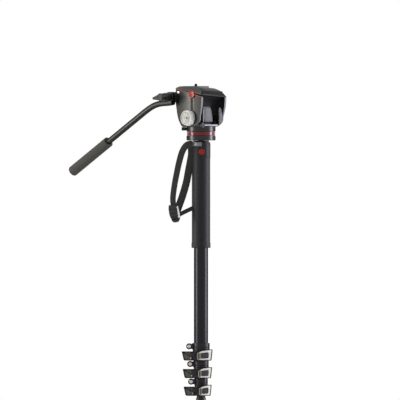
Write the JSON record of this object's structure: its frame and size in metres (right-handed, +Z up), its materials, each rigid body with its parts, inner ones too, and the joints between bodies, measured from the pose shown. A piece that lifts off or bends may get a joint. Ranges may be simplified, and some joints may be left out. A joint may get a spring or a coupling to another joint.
{
  "type": "video monopod",
  "caption": "Telescoping video monopod with flip-lever clamps, a hand grip with a wrist strap, a tilting and panning head with a bar handle, and a folding-leg base on a ball joint.",
  "frame": {"origin": "on the floor, under the pole's axis, in the plane of the leg tips", "axes": "+Z up along the pole; the clamp levers face -Y; the head's nose points to +X -Y at 45 degrees and the pan bar trails to -X +Y"},
  "size_m": [0.397, 0.3541, 0.7848],
  "materials": {
    "tube": "gloss black anodised",
    "casting": "black powder coat",
    "panel": "warm grey textured",
    "deck": "dark grey satin",
    "plate": "black anodised",
    "knob": "black",
    "bar": "black anodised",
    "leg": "black anodised",
    "rubber": "matt black",
    "foam": "closed-cell foam",
    "webbing": "woven",
    "buckle": "moulded",
    "bracket": "satin",
    "red": "anodised red",
    "silver": "turned satin",
    "bezel": "satin champagne",
    "steel": "satin",
    "dark_steel": "blackened",
    "brass": "satin",
    "nylon": "low friction"
  },
  "bodies": {
    "base": {"hub": "casting", "ball_retainer": "casting", "leg_1_pin": "steel", "leg_2_pin": "steel", "leg_3_pin": "steel"},
    "seat": {"seat_ring": "nylon"},
    "stem": {"ball_stem": "steel"},
    "lock_ring": {"tilt_lock_ring": "knob"},
    "section_4": {"cartridge_housing": "casting", "base_coupling": "knob", "fourth_tube": "tube", "fourth_tube_bush": "nylon"},
    "section_3": {"third_tube": "tube", "third_tube_bush": "nylon", "clamp_3_collar": "casting", "clamp_3_screw": "steel", "clamp_3_pin": "brass"},
    "section_2": {"second_tube": "tube", "second_tube_bush": "nylon", "clamp_2_collar": "casting", "clamp_2_screw": "steel", "clamp_2_pin": "brass"},
    "section_1": {"upper_tube": "tube", "hand_grip": "rubber", "top_cap": "casting", "strap_bracket": "bracket", "hand_strap": "webbing", "strap_buckle": "buckle", "head_base": "casting", "red_ring": "red", "clamp_1_collar": "casting", "clamp_1_screw": "steel", "clamp_1_pin": "brass"},
    "turntable": {"turntable": "casting"},
    "pan_lock": {"pan_lock_knob": "knob"},
    "pan_drag": {"pan_drag_knob": "knob"},
    "tilt_head": {"deck": "deck", "dial_side_panel": "panel", "lock_side_panel": "panel", "tilt_axle": "steel"},
    "dial": {"tilt_dial": "silver"},
    "tilt_lock": {"tilt_lock_lever": "knob"},
    "plate": {"camera_plate": "plate"},
    "plate_screw": {"camera_screw": "dark_steel"},
    "plate_lock": {"plate_lever": "knob"},
    "bar": {"pan_bar": "bar", "bar_grip": "foam"},
    "bar_lock": {"wing_lever": "knob"},
    "lever_1": {"clamp_1_lever": "casting", "clamp_1_bezel": "bezel"},
    "leg_1": {"leg_1": "leg", "leg_1_tip": "rubber"},
    "lever_2": {"clamp_2_lever": "casting", "clamp_2_bezel": "bezel"},
    "leg_2": {"leg_2": "leg", "leg_2_tip": "rubber"},
    "lever_3": {"clamp_3_lever": "casting", "clamp_3_bezel": "bezel"},
    "leg_3": {"leg_3": "leg", "leg_3_tip": "rubber"}
  },
  "joints": [
    {"name": "base_tilt_x", "type": "hinge", "parent": "base", "child": "seat", "pos_m": [0, 0, 0.046], "axis": [1, 0, 0], "range_deg": [-20, 20]},
    {"name": "base_tilt_y", "type": "hinge", "parent": "seat", "child": "stem", "pos_m": [0, 0, 0.046], "axis": [0, 1, 0], "range_deg": [-20, 20]},
    {"name": "lock_ring_turn", "type": "hinge", "parent": "stem", "child": "lock_ring", "pos_m": [0, 0, 0.07], "axis": [0, 0, 1], "range_deg": [0, 60]},
    {"name": "base_pan", "type": "hinge", "parent": "stem", "child": "section_4", "pos_m": [0, 0, 0.09], "axis": [0, 0, 1], "continuous": true},
    {"name": "section_4_slide", "type": "slide", "parent": "section_4", "child": "section_3", "axis": [0, 0, 1], "range_m": [0, 0.43]},
    {"name": "section_3_slide", "type": "slide", "parent": "section_3", "child": "section_2", "axis": [0, 0, 1], "range_m": [0, 0.42]},
    {"name": "section_2_slide", "type": "slide", "parent": "section_2", "child": "section_1", "axis": [0, 0, 1], "range_m": [0, 0.4]},
    {"name": "clamp_1_flip", "type": "hinge", "parent": "section_1", "child": "lever_1", "pos_m": [-0.0205, -0.0179, 0.226], "axis": [0, 0, -1], "range_deg": [0, 110]},
    {"name": "clamp_2_flip", "type": "hinge", "parent": "section_2", "child": "lever_2", "pos_m": [-0.0185, -0.0159, 0.19], "axis": [0, 0, -1], "range_deg": [0, 110]},
    {"name": "clamp_3_flip", "type": "hinge", "parent": "section_3", "child": "lever_3", "pos_m": [-0.0166, -0.014, 0.153], "axis": [0, 0, -1], "range_deg": [0, 110]},
    {"name": "leg_1_fold", "type": "hinge", "parent": "base", "child": "leg_1", "pos_m": [-0.02598, 0.015, 0.014], "axis": [0.5, 0.866, 0], "range_deg": [0, 85]},
    {"name": "leg_2_fold", "type": "hinge", "parent": "base", "child": "leg_2", "pos_m": [0, -0.03, 0.014], "axis": [1, 0, 0], "range_deg": [-85, 0]},
    {"name": "leg_3_fold", "type": "hinge", "parent": "base", "child": "leg_3", "pos_m": [0.02598, 0.015, 0.014], "axis": [-0.5, 0.866, 0], "range_deg": [-85, 0]},
    {"name": "head_pan", "type": "hinge", "parent": "section_1", "child": "turntable", "pos_m": [0, 0, 0.69], "axis": [0, 0, 1], "continuous": true},
    {"name": "pan_lock_turn", "type": "hinge", "parent": "turntable", "child": "pan_lock", "pos_m": [-0.035, 0, 0.6918], "axis": [-1, 0, 0], "range_deg": [0, 270]},
    {"name": "pan_drag_turn", "type": "hinge", "parent": "turntable", "child": "pan_drag", "pos_m": [0.00212, -0.03536, 0.69925], "axis": [0.7071, -0.7071, 0], "range_deg": [0, 270]},
    {"name": "head_tilt", "type": "hinge", "parent": "turntable", "child": "tilt_head", "pos_m": [0, 0, 0.714], "axis": [0.7071, 0.7071, 0], "range_deg": [-60, 90]},
    {"name": "dial_turn", "type": "hinge", "parent": "tilt_head", "child": "dial", "pos_m": [0, 0, 0.714], "axis": [-0.7071, -0.7071, 0], "range_deg": [0, 180]},
    {"name": "tilt_lock_turn", "type": "hinge", "parent": "tilt_head", "child": "tilt_lock", "pos_m": [0, 0, 0.714], "axis": [0.7071, 0.7071, 0], "range_deg": [0, 60]},
    {"name": "plate_lock_turn", "type": "hinge", "parent": "tilt_head", "child": "plate_lock", "pos_m": [0.03889, 0.00495, 0.765], "axis": [0, 0, -1], "range_deg": [0, 70]},
    {"name": "plate_lift", "type": "slide", "parent": "tilt_head", "child": "plate", "axis": [0, 0, 1], "range_m": [0, 0.012]},
    {"name": "camera_screw_turn", "type": "hinge", "parent": "plate", "child": "plate_screw", "pos_m": [-0.01061, 0.01061, 0.782], "axis": [0, 0, 1], "continuous": true},
    {"name": "bar_swing", "type": "hinge", "parent": "tilt_head", "child": "bar", "pos_m": [-0.06223, 0.00141, 0.757], "axis": [-0.7071, -0.7071, 0], "range_deg": [-60, 60]},
    {"name": "wing_turn", "type": "hinge", "parent": "bar", "child": "bar_lock", "pos_m": [-0.06223, 0.00141, 0.757], "axis": [-0.7071, -0.7071, 0], "range_deg": [0, 180]}
  ]
}
